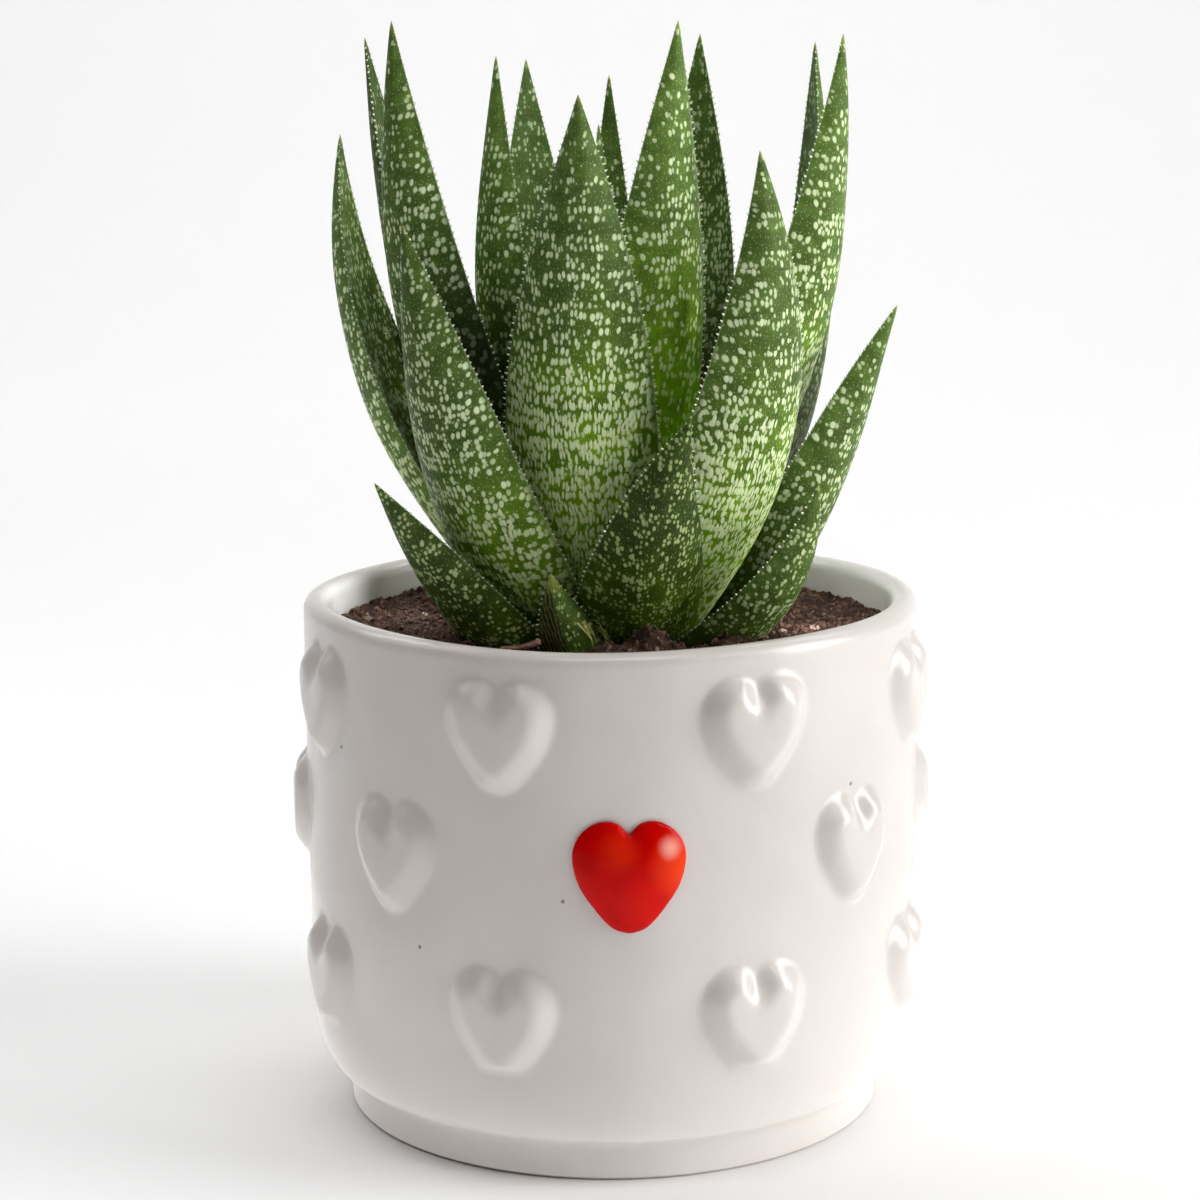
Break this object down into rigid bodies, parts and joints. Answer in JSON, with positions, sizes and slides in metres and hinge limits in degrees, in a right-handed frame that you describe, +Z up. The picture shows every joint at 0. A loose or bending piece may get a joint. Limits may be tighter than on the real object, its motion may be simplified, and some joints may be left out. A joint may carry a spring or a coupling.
{
  "type": "potted succulent",
  "caption": "Rosette of pointed, toothed succulent leaves with pale flecks, in a round white glazed pot with raised white hearts and a red heart at the front.",
  "frame": {"origin": "centre of the pot's foot ring, on the surface that it stands on", "axes": "+Z up, -Y towards the front with the red heart"},
  "size_m": [0.0892, 0.0892, 0.1489],
  "materials": {
    "white_glaze": "gloss",
    "red_glaze": "gloss",
    "peat": "matte",
    "stem": "matte",
    "bark": "matte",
    "leaf": "satin"
  },
  "bodies": {
    "root": {"pot": "white_glaze", "red_heart": "red_glaze", "soil": "peat", "stem_and_roots": "stem", "bark_chip": "bark", "leaf_01_stub": "leaf", "leaf_02_low_left": "leaf", "leaf_03_low_right": "leaf", "leaf_04_low_back": "leaf", "leaf_05_front": "leaf", "leaf_06_right": "leaf", "leaf_07_back_left": "leaf", "leaf_08_left": "leaf", "leaf_09_right": "leaf", "leaf_10_far_left": "leaf", "leaf_11_back_right": "leaf", "leaf_12_centre": "leaf", "leaf_13_right_tall": "leaf", "leaf_14_left_back": "leaf", "leaf_15_right_back": "leaf", "leaf_16_left_tall": "leaf", "leaf_17_back": "leaf", "leaf_18_back": "leaf", "leaf_19_centre_tall": "leaf", "leaf_20_inner_left": "leaf", "leaf_21_inner_back": "leaf", "leaf_22_youngest": "leaf"}
  },
  "joints": []
}
